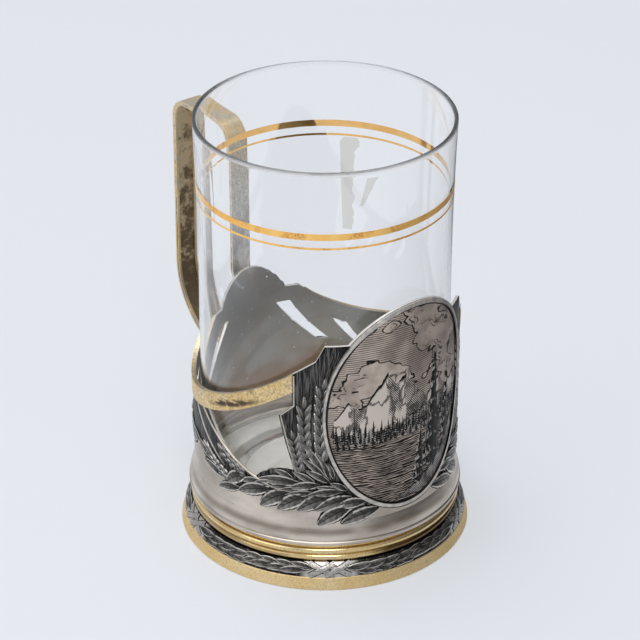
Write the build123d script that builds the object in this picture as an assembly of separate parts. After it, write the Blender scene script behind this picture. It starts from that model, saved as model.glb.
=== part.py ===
# A podstakannik: the soldered metal holder in which hot tea is carried, with its tea glass.
# Millimetres, +Z up. The origin is on the holder's axis, in the plane that it stands on.
# The medallion faces -Y and the handle stands at +Y. Angles run round the axis from the medallion.
from build123d import *
import math
import os

# Tea glass
glass_height = 107.4
glass_waist_radius = 32.6
glass_rim_flare = 0.9
glass_flare_start = 66.0
glass_wall = 1.0
glass_base = 3.6
glass_heel_radius = 6.0
glass_stand_width = 2.6
glass_punt_depth = 0.6

# Sheet body: heights are counted from the wall's lower edge
glass_slack = 1.15
sheet = 0.9
wall_straight = 17.6
wall_flare = 1.1

# Front medallion, an oval plate measured along the wall
medallion_half_width = 24.0
medallion_half_height = 29.95
medallion_margin = 1.2
border_width = 1.2
border_rise = 0.45

# Stepped shoulders beside the medallion
shoulder_height = 52.1
shoulder_end_angle = 38.2
knee_angle = 41.9
knee_height = 47.6

# Gilded rim straps, saddle-shaped between the front and the back
strap_height = 5.0
strap_proud = 0.3
strap_front_angle = 51.5
strap_low_angle = 122.0
strap_back_angle = 155.0
strap_front_height = 43.6
strap_low_height = 26.2
strap_back_height = 33.3
strap_front_bend = 1.67
strap_back_bend = 2.1

# Leaves along the sill of the side windows
leaf_swell = 0.7

# Oval-topped back panel that carries the handle
back_half_width = 13.2
back_half_height = 18.1
back_centre_height = 23.6

# Skirt, foot and floor
skirt_height = 6.3
skirt_bulge = 1.35
skirt_fullness = 0.64
lip_height = 1.3
lip_proud = 0.15
groove_depth = 0.3
upper_bead_height = 2.0
upper_bead_neck = 1.1
upper_bead_overhang = 1.0
lower_bead_height = 2.0
lower_bead_inset = 0.2
floor_thickness = 1.2
floor_ledge = 2.3
floor_solder_gap = 0.05
laurel_height = 3.6
laurel_spread = 1.85
laurel_crown = 0.25
laurel_seat_width = 1.35
foot_rim_height = 3.4
foot_rim_width = 1.75
foot_rim_ledge = 0.1
foot_rim_spread = 1.0
foot_rim_rounding = 0.35

# Handle, a channel-section strap whose path is measured along its middle
handle_width = 6.2
handle_depth = 1.3
handle_web = 0.7
handle_flange = 0.7
handle_tongue_height = 25.6
handle_joggle_foot = 32.4
handle_joggle_head = 40.2
handle_joggle_bend = 4.5
handle_stand_off = 3.2
handle_top = 82.05
handle_reach = 23.2
handle_root_height = 12.6
handle_inner_bend = 5.5
handle_outer_bend = 5.0
handle_lower_bend = 21.0

# Levels and radii that follow from the sizes above
laurel_foot = foot_rim_height
lower_bead_foot = laurel_foot + laurel_height
upper_bead_foot = lower_bead_foot + lower_bead_height
floor_top = upper_bead_foot + floor_thickness
skirt_foot = upper_bead_foot + upper_bead_height + upper_bead_neck
wall_foot = skirt_foot + skirt_height
medallion_centre = wall_foot + medallion_margin + medallion_half_height
wall_top = medallion_centre + medallion_half_height
glass_rim_radius = glass_waist_radius + glass_rim_flare
wall_inner = glass_waist_radius + glass_slack
wall_outer = wall_inner + sheet
floor_radius = wall_inner - floor_solder_gap
upper_bead_flat = wall_inner + upper_bead_overhang
lower_bead_flat = upper_bead_flat - lower_bead_inset
laurel_top_radius = lower_bead_flat + lower_bead_height / 2
laurel_foot_radius = laurel_top_radius + laurel_spread
blank_top = wall_top + sheet
back_crown = wall_foot + back_centre_height + back_half_height
flare_foot = wall_foot + wall_straight
cut_reach = 2 * wall_outer
above_all = wall_top + handle_top


def wall_radius(height):
    """Outer radius of the body's wall, straight below and flared above."""
    rise = max(0.0, height - flare_foot) / (wall_top - flare_foot)
    return wall_outer + wall_flare * rise ** 2


def facing_plane(angle):
    """Upright plane through the axis that looks outwards at the angle."""
    turn = math.radians(angle)
    along = (math.cos(turn), math.sin(turn), 0)
    outward = (math.sin(turn), -math.cos(turn), 0)
    return Plane(origin=(0, 0, 0), x_dir=along, z_dir=outward)


def radial_plane(angle):
    """Upright plane through the axis that holds the radius at the angle."""
    turn = math.radians(angle)
    outward = (math.sin(turn), -math.cos(turn), 0)
    back_along = (-math.cos(turn), -math.sin(turn), 0)
    return Plane(origin=(0, 0, 0), x_dir=outward, z_dir=back_along)


def turned(edges, start=0.0):
    """A ring turned about the axis, from the edges of its section as (radius, height) at the start angle."""
    return revolve(radial_plane(start) * make_face(edges), Axis.Z)


def on_wall(angle, height, facing):
    """Where a point of the wall lands on the plane that looks outwards at the facing angle."""
    level = wall_foot + height
    middle = wall_radius(level) - sheet / 2
    return (middle * math.sin(math.radians(angle - facing)), level)


def up_wall(percent):
    """A height of the pierced field above the wall's foot, as a share of the shoulders' height."""
    return shoulder_height * percent / 100


def up_panel(percent):
    """A height of the back panel above the wall's foot, as a share of its shoulders' height."""
    return strap_back_height * percent / 100


def pierce(edges, facing):
    """A straight punch through one side of the wall, for an outline drawn on the facing plane."""
    return extrude(facing_plane(facing) * make_face(edges), amount=cut_reach)


def both_sides(tool):
    """The tool and its mirror image on the other side of the medallion."""
    return [tool, mirror(tool, about=Plane.YZ)]


def oval(half_width, half_height, centre, facing, points=24):
    """A closed oval measured along the wall, drawn on the facing plane."""
    ring = []
    for step in range(points):
        turn = 2 * math.pi * step / points
        level = centre + half_height * math.sin(turn)
        middle = wall_radius(level) - sheet / 2
        ring.append((middle * math.sin(half_width * math.cos(turn) / middle), level))
    return extrude(facing_plane(facing) * make_face(Spline(*ring, periodic=True)), amount=cut_reach)


def wall_layer(inside, outside, start=0.0):
    """A layer of the wall between two offsets from its outer face, turned from the start angle."""
    top_radius = wall_radius(blank_top)
    top_lean = (2 * (top_radius - wall_outer), blank_top - flare_foot)
    lines = []
    for offset in [inside, outside]:
        bend = (wall_outer + offset, flare_foot)
        lines.append(Line((wall_outer + offset, wall_foot), bend))
        lines.append(Spline(bend, (top_radius + offset, blank_top), tangents=[(0, 1), top_lean]))
    lines.append(Line(lines[0] @ 0, lines[2] @ 0))
    lines.append(Line(lines[1] @ 1, lines[3] @ 1))
    return turned(lines, start)


def strap_level(angle):
    """Height of the rim strap's upper edge above the wall's foot."""
    if angle <= strap_low_angle:
        share = (strap_low_angle - angle) / (strap_low_angle - strap_front_angle)
        return strap_low_height + (strap_front_height - strap_low_height) * share ** strap_front_bend
    share = (angle - strap_low_angle) / (strap_back_angle - strap_low_angle)
    return strap_low_height + (strap_back_height - strap_low_height) * share ** strap_back_bend


def mid_strap(angle):
    """Height of the rim strap's middle, up to which the openings under it are cut."""
    return strap_level(angle) - strap_height / 2


def along_strap(headroom, stations=14):
    """A loft round the side of the wall, from the rim strap's lower edge to above its upper edge."""
    inside = wall_inner - sheet
    outside = wall_outer + 2 * wall_flare
    faces = []
    for step in range(stations):
        angle = strap_front_angle + (strap_back_angle - strap_front_angle) * step / (stations - 1)
        high = wall_foot + strap_level(angle)
        low = high - strap_height
        corners = [(inside, low), (outside, low), (outside, high + headroom), (inside, high + headroom)]
        faces.append(radial_plane(angle) * make_face(Polyline(*corners, close=True)))
    return loft(faces)


def side_window():
    """The large opening between the sheaf beside the medallion and the stem of the first ear."""
    facing = 74.0
    sheaf_foot = on_wall(50.4, up_wall(28.8), facing)
    sheaf_waist = on_wall(53.6, up_wall(40.5), facing)
    sheaf_point = on_wall(57.4, up_wall(59.5), facing)
    sheaf_neck = on_wall(strap_front_angle, up_wall(66.0), facing)
    neck_top = on_wall(strap_front_angle, mid_strap(strap_front_angle), facing)
    stem_top = on_wall(102.0, mid_strap(102.0), facing)
    stem_points = [(91.0, 35.3), (79.9, 25.1), (69.0, 20.2)]
    stem = Spline(stem_top, *[on_wall(angle, up_wall(share), facing) for angle, share in stem_points])
    first_tip = on_wall(63.5, up_wall(26.1), facing)
    second_tip = on_wall(57.2, up_wall(28.2), facing)
    edges = [stem]
    corner = stem @ 1
    for tip in [first_tip, second_tip, sheaf_foot]:
        crest = ((corner.X + tip[0]) / 2, (corner.Y + tip[1]) / 2 + leaf_swell)
        edges.append(ThreePointArc(corner, crest, tip))
        corner = edges[-1] @ 1
    edges.append(ThreePointArc(sheaf_foot, sheaf_waist, sheaf_point))
    edges.append(Polyline(sheaf_point, sheaf_neck, neck_top, stem_top))
    return pierce(edges, facing)


def slit(front_edge, back_edge, facing):
    """A narrow opening between two ears, from three points (angle, height) along each edge."""
    front = [on_wall(angle, height, facing) for angle, height in front_edge]
    back = [on_wall(angle, height, facing) for angle, height in back_edge]
    edges = [ThreePointArc(*front), ThreePointArc(*back)]
    edges.append(Line(front[0], back[0]))
    edges.append(Line(front[2], back[2]))
    return pierce(edges, facing)


def ear_slits():
    """The three slits on one side: two run up under the rim strap, and the third ends in the back panel."""
    first_front = [(114.0, mid_strap(114.0)), (98.5, up_wall(30.1)), (86.0, up_wall(19.8))]
    first_back = [(118.8, mid_strap(118.8)), (101.0, up_wall(28.8)), (86.6, up_wall(18.8))]
    second_front = [(134.3, mid_strap(134.3)), (124.6, up_wall(32.2)), (115.6, up_wall(24.6))]
    second_back = [(142.0, mid_strap(142.0)), (127.6, up_wall(29.9)), (116.4, up_wall(23.4))]
    third_front = [(158.8, up_panel(87.1)), (150.3, up_panel(66.7)), (140.3, up_panel(49.9))]
    third_back = [(165.8, up_panel(87.1)), (156.3, up_panel(66.0)), (145.8, up_panel(48.7))]
    return [
        slit(first_front, first_back, facing=100.0),
        slit(second_front, second_back, facing=127.0),
        slit(third_front, third_back, facing=153.0),
    ]


def front_shoulder():
    """What is cut away above one stepped shoulder, from the medallion to the rim strap."""
    facing = 40.0
    share = (wall_foot + shoulder_height - medallion_centre) / medallion_half_height
    notch_angle = math.degrees(medallion_half_width * math.sqrt(1 - share ** 2) / wall_outer)
    near = on_wall(notch_angle / 2, shoulder_height, facing)
    step = on_wall(shoulder_end_angle, shoulder_height, facing)
    knee = on_wall(knee_angle, knee_height, facing)
    end = on_wall(strap_front_angle, strap_front_height, facing)
    past = (end[0] + sheet, end[1])
    outline = Polyline(near, step, knee, end, past, (past[0], above_all), (near[0], above_all), close=True)
    return pierce(outline, facing)


def front_gap():
    """What is cut away round the medallion's head, between the cuts above the two shoulders."""
    level = (wall_foot + shoulder_height + wall_top) / 2
    half = wall_outer / 2
    outline = Polyline((-half, level), (half, level), (half, above_all), (-half, above_all), close=True)
    return pierce(outline, facing=0)


def back_outline():
    """What is cut away above the back panel: an oval head between two short level shoulders."""
    level = wall_foot + strap_back_height
    centre = wall_foot + back_centre_height
    share = (strap_back_height - back_centre_height) / back_half_height
    notch = back_half_width * math.sqrt(1 - share ** 2)
    half_level = (level + back_crown) / 2
    half_width = back_half_width * math.sqrt(1 - ((half_level - centre) / back_half_height) ** 2)
    end = on_wall(180.0 - strap_back_angle, 0, 0)[0] + sheet
    head = Spline(
        (-notch, level),
        (-half_width, half_level),
        (0, back_crown),
        (half_width, half_level),
        (notch, level),
    )
    rest = Polyline(
        (notch, level),
        (end, level),
        (end, above_all),
        (-end, above_all),
        (-end, level),
        (-notch, level),
    )
    return pierce([head, rest], facing=180.0)


def make_tea_glass():
    """Thin-walled glass with a rounded rim, a rounded heel and a slightly hollow foot."""
    foot = floor_top
    top = foot + glass_height
    stand = glass_waist_radius - glass_heel_radius
    inner_heel = glass_heel_radius - glass_wall
    rim_round = glass_wall / 2
    floor_level = foot + glass_base
    flare_level = foot + glass_flare_start
    under = Polyline(
        (0, floor_level),
        (0, foot + glass_punt_depth),
        (stand - 2 * glass_stand_width, foot + glass_punt_depth),
        (stand - glass_stand_width, foot),
        (stand, foot),
    )
    heel = TangentArc(under @ 1, (glass_waist_radius, foot + glass_heel_radius), tangent=(1, 0))
    outside = Line(heel @ 1, (glass_waist_radius, flare_level))
    flare = TangentArc(outside @ 1, (glass_rim_radius, top - rim_round), tangent=(0, 1))
    inside_waist = glass_waist_radius - glass_wall
    inner_flare_foot = (inside_waist, flare_level)
    inner_flare_top = (glass_rim_radius - glass_wall, top - rim_round)
    inner_flare = TangentArc(inner_flare_foot, inner_flare_top, tangent=(0, 1))
    rim = ThreePointArc(flare @ 1, (glass_rim_radius - rim_round, top), inner_flare @ 1)
    inner_heel_top = (inside_waist, floor_level + inner_heel)
    inside = Line(inner_flare_foot, inner_heel_top)
    inner_round = TangentArc((inside_waist - inner_heel, floor_level), inner_heel_top, tangent=(1, 0))
    inner_floor = Line((0, floor_level), inner_round @ 0)
    return turned([under, heel, outside, flare, rim, inner_flare, inside, inner_round, inner_floor])


def make_rim_strap():
    """Gilded strap along the right side of the wall, flush with it inside and a little proud outside."""
    return wall_layer(-sheet, strap_proud) & along_strap(headroom=0)


def make_medallion_plate():
    """Oval front plate, curved like the wall, whose head stands above the shoulders."""
    plate = wall_layer(-sheet, 0, start=180.0)
    return plate & oval(medallion_half_width, medallion_half_height, medallion_centre, 0)


def make_medallion_border():
    """Raised oval wire along the edge of the front plate."""
    outer = oval(medallion_half_width, medallion_half_height, medallion_centre, 0)
    inner_half_width = medallion_half_width - border_width
    inner_half_height = medallion_half_height - border_width
    inner = oval(inner_half_width, inner_half_height, medallion_centre, 0)
    return wall_layer(0, border_rise, start=180.0) & (outer - inner)


def make_body_wall():
    """Pierced sheet wall with room for the medallion plate and the two rim straps."""
    wall = wall_layer(-sheet, 0)
    wall -= oval(medallion_half_width, medallion_half_height, medallion_centre, 0)
    wall -= front_gap()
    wall -= back_outline()
    for tool in [front_shoulder(), along_strap(headroom=wall_top), side_window(), *ear_slits()]:
        for side in both_sides(tool):
            wall -= side
    return wall


def make_skirt():
    """Flared collar under the wall, with a groove, a rolled lip and a flange turned in below."""
    bulge = wall_outer + skirt_bulge
    lip = bulge + lip_proud
    lip_top = skirt_foot + lip_height
    groove_top = lip_top + groove_depth
    half_level = (groove_top + wall_foot) / 2
    belly = skirt_fullness * skirt_bulge
    outside = ThreePointArc((wall_outer, wall_foot), (wall_outer + belly, half_level), (bulge, groove_top))
    lip_line = Polyline(
        (bulge, groove_top),
        (bulge - groove_depth, lip_top),
        (lip, lip_top - groove_depth),
        (lip, skirt_foot + groove_depth),
        (lip - groove_depth, skirt_foot),
        (wall_inner, skirt_foot),
        (wall_inner, skirt_foot + sheet),
        (bulge - sheet, skirt_foot + sheet),
        (bulge - sheet, groove_top),
    )
    inside = ThreePointArc(
        (bulge - sheet, groove_top),
        (wall_inner + belly, half_level),
        (wall_inner, wall_foot),
    )
    return turned([outside, lip_line, inside, Line((wall_inner, wall_foot), (wall_outer, wall_foot))])


def make_upper_bead():
    """Half-round gilded ring round the floor's edge, with a plain neck under the skirt."""
    bead_top = upper_bead_foot + upper_bead_height
    middle = (upper_bead_foot + bead_top) / 2
    lower_corner = (upper_bead_flat, upper_bead_foot)
    upper_corner = (upper_bead_flat, bead_top)
    nose = (upper_bead_flat + upper_bead_height / 2, middle)
    outside = ThreePointArc(lower_corner, nose, upper_corner)
    rest = Polyline(
        upper_corner,
        (upper_bead_flat, skirt_foot),
        (wall_inner, skirt_foot),
        (wall_inner, upper_bead_foot),
        lower_corner,
    )
    return turned([outside, rest])


def make_lower_bead():
    """Half-round gilded ring whose inner ledge carries the floor plate."""
    middle = lower_bead_foot + lower_bead_height / 2
    ledge = wall_inner - floor_ledge
    lower_corner = (lower_bead_flat, lower_bead_foot)
    upper_corner = (lower_bead_flat, upper_bead_foot)
    nose = (lower_bead_flat + lower_bead_height / 2, middle)
    outside = ThreePointArc(lower_corner, nose, upper_corner)
    rest = Polyline(upper_corner, (ledge, upper_bead_foot), (ledge, lower_bead_foot), lower_corner)
    return turned([outside, rest])


def make_floor_plate():
    """Round plate under the glass, soldered onto the ledge of the lower ring."""
    return Pos(0, 0, upper_bead_foot) * Cylinder(
        floor_radius, floor_thickness, align=(Align.CENTER, Align.CENTER, Align.MIN)
    )


def make_laurel_band():
    """Sloping band of the wreath, with a flange turned in under the lower ring."""
    outer_foot = (laurel_foot_radius, laurel_foot)
    outer_top = (laurel_top_radius, lower_bead_foot)
    crest = (
        (outer_foot[0] + outer_top[0]) / 2 + laurel_crown,
        (outer_foot[1] + outer_top[1]) / 2 + laurel_crown,
    )
    inner_flange = wall_inner - floor_ledge / 2
    face = ThreePointArc(outer_foot, crest, outer_top)
    rest = Polyline(
        outer_top,
        (inner_flange, lower_bead_foot),
        (inner_flange, lower_bead_foot - sheet),
        (laurel_top_radius - sheet, lower_bead_foot - sheet),
        (laurel_foot_radius - laurel_seat_width, laurel_foot),
        outer_foot,
    )
    return turned([face, rest])


def make_foot_rim():
    """Gilded base ring that the holder stands on, wider below than above."""
    top = laurel_foot_radius + foot_rim_ledge
    foot = top + foot_rim_spread
    inner = top - foot_rim_width
    corners = [(inner, 0), (foot, 0), (top, foot_rim_height), (inner, foot_rim_height)]
    section = make_face(Polyline(*corners, close=True))
    outer_corners = section.vertices().sort_by(Axis.X)[-2:]
    return revolve(Plane.XZ * fillet(outer_corners, foot_rim_rounding), Axis.Z)


def make_handle():
    """Channel-section strap bent into a loop, its open side towards the fingers."""
    half = handle_width / 2
    deep = handle_depth / 2
    tongue_level = wall_foot + handle_tongue_height
    seat = math.sqrt(wall_radius(tongue_level) ** 2 - half ** 2)
    tongue = seat + deep
    leg = tongue + handle_stand_off
    top = wall_foot + handle_top
    root = wall_foot + handle_root_height
    path = Plane.YZ * FilletPolyline(
        (tongue, tongue_level),
        (tongue, wall_foot + handle_joggle_foot),
        (leg, wall_foot + handle_joggle_head),
        (leg, top),
        (leg + handle_reach, top),
        (leg + handle_reach, root),
        (wall_inner, root),
        radius=[handle_joggle_bend] * 2 + [handle_inner_bend, handle_outer_bend, handle_lower_bend],
    )
    channel = Polyline(
        (-half, -deep),
        (half, -deep),
        (half, deep),
        (half - handle_flange, deep),
        (half - handle_flange, handle_web - deep),
        (handle_flange - half, handle_web - deep),
        (handle_flange - half, deep),
        (-half, deep),
        close=True,
    )
    start = Plane(origin=(0, tongue, tongue_level), x_dir=(1, 0, 0), z_dir=(0, 0, 1))
    strap = sweep(start * make_face(channel), path=path)
    corner_block = Pos(0, tongue_level + half / 2) * Rectangle(2 * handle_width, half)
    rounding = corner_block - Pos(0, tongue_level + half) * Circle(half)
    strap -= extrude(facing_plane(180.0) * rounding, amount=leg)
    on_foot = (Align.CENTER, Align.CENTER, Align.MIN)
    core = Pos(0, 0, wall_foot) * Cylinder(wall_inner, back_crown - wall_foot, align=on_foot)
    below_crown = Pos(0, 0, wall_foot) * Cylinder(cut_reach, back_crown - wall_foot, align=on_foot)
    return strap - core - (wall_layer(-sheet, 0) & below_crown)


right_strap = make_rim_strap()
pieces = {
    "tea_glass": make_tea_glass(),
    "body_wall": make_body_wall(),
    "medallion_plate": make_medallion_plate(),
    "medallion_border": make_medallion_border(),
    "rim_strap_right": right_strap,
    "rim_strap_left": mirror(right_strap, about=Plane.YZ),
    "skirt": make_skirt(),
    "floor_plate": make_floor_plate(),
    "upper_bead_ring": make_upper_bead(),
    "lower_bead_ring": make_lower_bead(),
    "laurel_band": make_laurel_band(),
    "foot_rim": make_foot_rim(),
    "handle": make_handle(),
}

os.makedirs("parts", exist_ok=True)
for name, piece in pieces.items():
    export_step(piece, f"parts/{name}.step")
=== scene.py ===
# A podstakannik with its tea glass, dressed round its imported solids.
# Metres, +Z up; the medallion faces -Y and the handle stands at +Y.
import bpy
import math
import numpy as np
from mathutils import Matrix, Vector


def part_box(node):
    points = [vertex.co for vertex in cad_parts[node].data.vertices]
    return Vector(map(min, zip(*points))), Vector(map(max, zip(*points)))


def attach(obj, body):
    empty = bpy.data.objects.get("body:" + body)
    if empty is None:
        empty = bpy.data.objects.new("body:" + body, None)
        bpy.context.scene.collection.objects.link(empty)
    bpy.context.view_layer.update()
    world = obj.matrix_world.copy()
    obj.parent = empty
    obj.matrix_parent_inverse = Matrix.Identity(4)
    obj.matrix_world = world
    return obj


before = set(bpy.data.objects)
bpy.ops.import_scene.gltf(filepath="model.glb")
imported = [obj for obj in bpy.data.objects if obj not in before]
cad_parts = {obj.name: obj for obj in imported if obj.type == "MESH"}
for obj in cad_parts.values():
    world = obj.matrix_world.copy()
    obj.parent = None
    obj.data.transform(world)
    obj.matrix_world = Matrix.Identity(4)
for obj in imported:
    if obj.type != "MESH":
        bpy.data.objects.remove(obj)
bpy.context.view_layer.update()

# The studio: a pale board that the holder stands on, under large soft boxes.
# The board runs on past the picture, and the room beyond it has the board's own colour.
# The room's right side, as the camera sees it, is left dim for the metal to mirror.
mm = 0.001
board_colour = (0.755, 0.775, 0.805, 1)
room_colour = (0.74, 0.76, 0.81, 1)
room_light = 0.86
dim_side = (0.951, -0.311, 0.0)
dimmest = 0.15
dim_colour = (0.20, 0.20, 0.21, 1)
board_side = 6.0
board_drop = 0.05 * mm
shown_board = (0.34, 0.35, 0.36, 1)
board_glow = (0.405, 0.42, 0.448, 1)


class Value:
    """A socket of a finish. Sums and products of values add the Math nodes that work them out."""

    def __init__(self, socket):
        self.socket = socket
        self.tree = socket.id_data

    def node(self, kind, inlets, outlet=0, stops=(), **settings):
        """Adds a node with its settings, links or sets its inlets, and gives one of its outlets."""
        made = self.tree.nodes.new(kind)
        for name, setting in settings.items():
            setattr(made, name, setting)
        for count, (place, tone) in enumerate(stops):
            steps = made.color_ramp.elements
            step = steps[count] if count < len(steps) else steps.new(place)
            step.position = place
            step.color = (tone, tone, tone, 1)
        for name, inlet in inlets.items():
            if isinstance(inlet, Value):
                self.tree.links.new(inlet.socket, made.inputs[name])
            else:
                made.inputs[name].default_value = inlet
        return Value(made.outputs[outlet])

    def outlet(self, name):
        return Value(self.socket.node.outputs[name])

    def maths(self, operation, first, second=0.0):
        return self.node("ShaderNodeMath", {0: first, 1: second}, operation=operation)

    def __add__(self, other):
        return self.maths("ADD", self, other)

    def __radd__(self, other):
        return self.maths("ADD", other, self)

    def __sub__(self, other):
        return self.maths("SUBTRACT", self, other)

    def __rsub__(self, other):
        return self.maths("SUBTRACT", other, self)

    def __mul__(self, other):
        return self.maths("MULTIPLY", self, other)

    def __truediv__(self, other):
        return self.maths("DIVIDE", self, other)

    def __pow__(self, other):
        return self.maths("POWER", self, other)

    def __gt__(self, other):
        return self.maths("GREATER_THAN", self, other)

    def __lt__(self, other):
        return self.maths("LESS_THAN", self, other)

    def __abs__(self):
        return self.maths("ABSOLUTE", self)


def larger(first, second):
    """The larger of two values."""
    return first.maths("MAXIMUM", first, second)


def new_finish(name, metallic=1.0):
    """A new material, its shader, and the place on the piece in metres."""
    finish = bpy.data.materials.new(name)
    finish.use_nodes = True
    shader = finish.node_tree.nodes["Principled BSDF"]
    shader.inputs["Metallic"].default_value = metallic
    coordinates = finish.node_tree.nodes.new("ShaderNodeTexCoord")
    return finish, shader, Value(coordinates.outputs["Object"])


def wire(shader, **inlets):
    """Links values to the shader's sockets; an underscore in a name stands for a space."""
    for name, value in inlets.items():
        shader.id_data.links.new(value.socket, shader.inputs[name.replace("_", " ")])


bpy.ops.object.select_all(action="DESELECT")
bpy.ops.mesh.primitive_plane_add(size=board_side, location=(0, 0, -board_drop))
board = bpy.context.object
board.name = "studio_board"
bpy.ops.object.transform_apply()


def out_of_sight(place):
    """1 for light that goes round the studio, and 0 for what is seen, also through the glass."""
    camera_ray = place.node("ShaderNodeLightPath", {}, outlet="Is Camera Ray")
    return 1 - larger(camera_ray, camera_ray.outlet("Is Transmission Ray"))


def towards_dim(place, near, far):
    """How far a place lies towards the dim side of the studio: 0 at near and 1 at far."""
    inlets = {0: place, 1: dim_side}
    along = place.node("ShaderNodeVectorMath", inlets, outlet="Value", operation="DOT_PRODUCT")
    return place.node("ShaderNodeMapRange", {"Value": along, "From Min": near, "From Max": far})


def blend(share, first, second):
    """A colour between the first, at a share of 0, and the second, at a share of 1."""
    return share.node("ShaderNodeMix", {0: share, 6: first, 7: second}, outlet=2, data_type="RGBA")


painted_board, board_shader, board_place = new_finish("painted_board", metallic=0)
unseen = out_of_sight(board_place)
unseen_tone = blend(towards_dim(board_place, near=0.07, far=0.16), board_colour, dim_colour)
wire(board_shader, Base_Color=blend(unseen, shown_board, unseen_tone))
wire(board_shader, Emission_Color=blend(unseen, board_glow, (0, 0, 0, 1)))
board_shader.inputs["Emission Strength"].default_value = 1
board_shader.inputs["Roughness"].default_value = 0.9
board.data.materials.append(painted_board)

studio = bpy.data.worlds.new("studio")
bpy.context.scene.world = studio
studio.use_nodes = True
room = studio.node_tree
backdrop = room.nodes["Background"]
backdrop.inputs["Color"].default_value = room_colour
bearing = Value(room.nodes.new("ShaderNodeTexCoord").outputs["Generated"])
towards_dark = towards_dim(bearing, near=0.15, far=0.8)
dimmed = out_of_sight(bearing) * (1 - room_light + towards_dark * (room_light - dimmest))
room.links.new((1 - dimmed).socket, backdrop.inputs["Strength"])
lamp_target = Vector((0, 0, 50 * mm))


def soft_box(name, place, width, height, watts):
    """A soft box at the place, turned towards the holder."""
    bpy.ops.object.light_add(type="AREA", location=place)
    lamp = bpy.context.object
    lamp.name = name
    lamp.data.shape = "RECTANGLE"
    lamp.data.size = width
    lamp.data.size_y = height
    lamp.data.energy = watts
    aim = lamp_target - Vector(place)
    lamp.rotation_euler = aim.to_track_quat("-Z", "Y").to_euler()


soft_box("box_overhead", (-0.1, 0.1, 1.3), 1.1, 1.1, 7.5)
soft_box("box_left", (-1.2, 0.05, 0.75), 0.9, 0.9, 2.5)
soft_box("box_front", (-0.75, -0.95, 1.25), 0.6, 0.6, 5)

bpy.ops.object.camera_add(location=(-0.4225, -0.5387, 0.4393))
camera = bpy.context.object
camera.name = "studio_camera"
camera.rotation_euler = (math.radians(60.93), 0, math.radians(-38))
camera.data.lens = 169.4
camera.data.sensor_width = 36
bpy.context.scene.camera = camera
bpy.context.scene.view_settings.view_transform = "Standard"


# Base rim: the heavy ring that the holder stands on, cast white metal turned smooth and gilded.
# Handling has worn the gilding pale along the edges, and small brown spots have come through it.
def mottle(place, spacing, detail=2.0):
    """Clouds about as far apart as the spacing, between 0 and 1."""
    return place.node("ShaderNodeTexNoise", {"Vector": place, "Scale": 1 / spacing, "Detail": detail})


def ease(value, low, high):
    """0 below low, 1 above high, and a smooth rise between them."""
    inlets = {"Value": value, "From Min": low, "From Max": high}
    return value.node("ShaderNodeMapRange", inlets, interpolation_type="SMOOTHSTEP")


def dents(height, depth):
    """Small dents and scratches, as the surface's normal."""
    return height.node("ShaderNodeBump", {"Height": height, "Distance": depth, "Strength": 0.6})


def stretch(place, across, upwards):
    """The place with its distances across and upwards multiplied, for streaks."""
    return place.node("ShaderNodeVectorMath", {0: place, 1: (across, across, upwards)}, operation="MULTIPLY")


gold = (0.80, 0.575, 0.255, 1)
pale_gold = (0.86, 0.70, 0.42, 1)
worn_silver = (0.60, 0.56, 0.48, 1)
dull_silver = (0.44, 0.41, 0.36, 1)
old_gold = (0.40, 0.27, 0.11, 1)
brown_tarnish = (0.13, 0.09, 0.05, 1)


def gilded(place, wear, tarnish):
    """Old gilding: its colour, the share of it that has browned and its fine speckle."""
    tone = ease(mottle(place, 9 * mm), 0.3, 0.7)
    speckle = mottle(stretch(place, 1, 0.45), 0.45 * mm, 3)
    colour = blend(tone * 0.7 + speckle * 0.3, gold, pale_gold)
    worn = ease(mottle(place, 5 * mm, 4), 0.62 - wear, 0.78 - wear * 0.5)
    colour = blend(worn * 0.8, colour, worn_silver)
    colour = blend(ease(mottle(place, 0.4 * mm, 3), 0.45, 0.68) * 0.4, colour, old_gold)
    spots = ease(mottle(stretch(place, 1, 1.6), 3.5 * mm, 5), 0.78 - tarnish, 0.92 - tarnish * 0.6)
    return blend(spots * 0.85, colour, brown_tarnish), spots, speckle


def round_the_axis(place):
    """The angle from the medallion in degrees, the distance from the axis and the height of a place."""
    split = place.node("ShaderNodeSeparateXYZ", {0: place})
    across = split.outlet("X")
    away = 0 - split.outlet("Y")
    angle = across.maths("ARCTAN2", across, away) * (180 / math.pi)
    return angle, (across * across + away * away) ** 0.5, split.outlet("Z")


def gilding(name, wear, tarnish, roughness, grain, bare_within=0.0):
    """A finish of old gilding, with a grain of a given depth, and bare metal within a radius."""
    finish, shader, place = new_finish(name)
    colour, spots, speckle = gilded(place, wear, tarnish)
    colour = blend(speckle * 0.2, colour, old_gold)
    _, distance, _ = round_the_axis(place)
    colour = blend(distance < bare_within, colour, dull_silver)
    wire(shader, Base_Color=colour, Roughness=roughness + speckle * 0.1 + spots * 0.2)
    wire(shader, Normal=dents(speckle + mottle(place, 2 * mm) * 0.5, grain))
    return finish


def dress(node, finish):
    """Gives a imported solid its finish."""
    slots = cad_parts[node].data.materials
    slots.clear()
    slots.append(finish)


dress("foot_rim", gilding("rim_gilding", wear=-0.05, tarnish=0.02, roughness=0.44, grain=0.02 * mm))

# Laurel band: the sloping wreath of the foot, struck in low relief and blackened with niello.
# Leaves lie in two rows with their tips away from five crossed ribbons, on a polished ground.
band_low, band_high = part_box("laurel_band")
band_foot_radius = band_high.x
band_taper = 1.85 * mm
band_rise = band_high.z - band_low.z
band_slope = math.hypot(band_taper, band_rise)
band_middle_radius = band_foot_radius - band_taper / 2
band_crown = 0.35 * mm


def spots_of(piece):
    """The points of a piece, one row for each."""
    flat = np.empty(len(piece.data.vertices) * 3)
    piece.data.vertices.foreach_get("co", flat)
    return flat.reshape(-1, 3)


def move_spots(piece, spots):
    """Moves the points of a piece to new spots."""
    piece.data.vertices.foreach_set("co", spots.ravel())
    piece.data.update()


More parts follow.
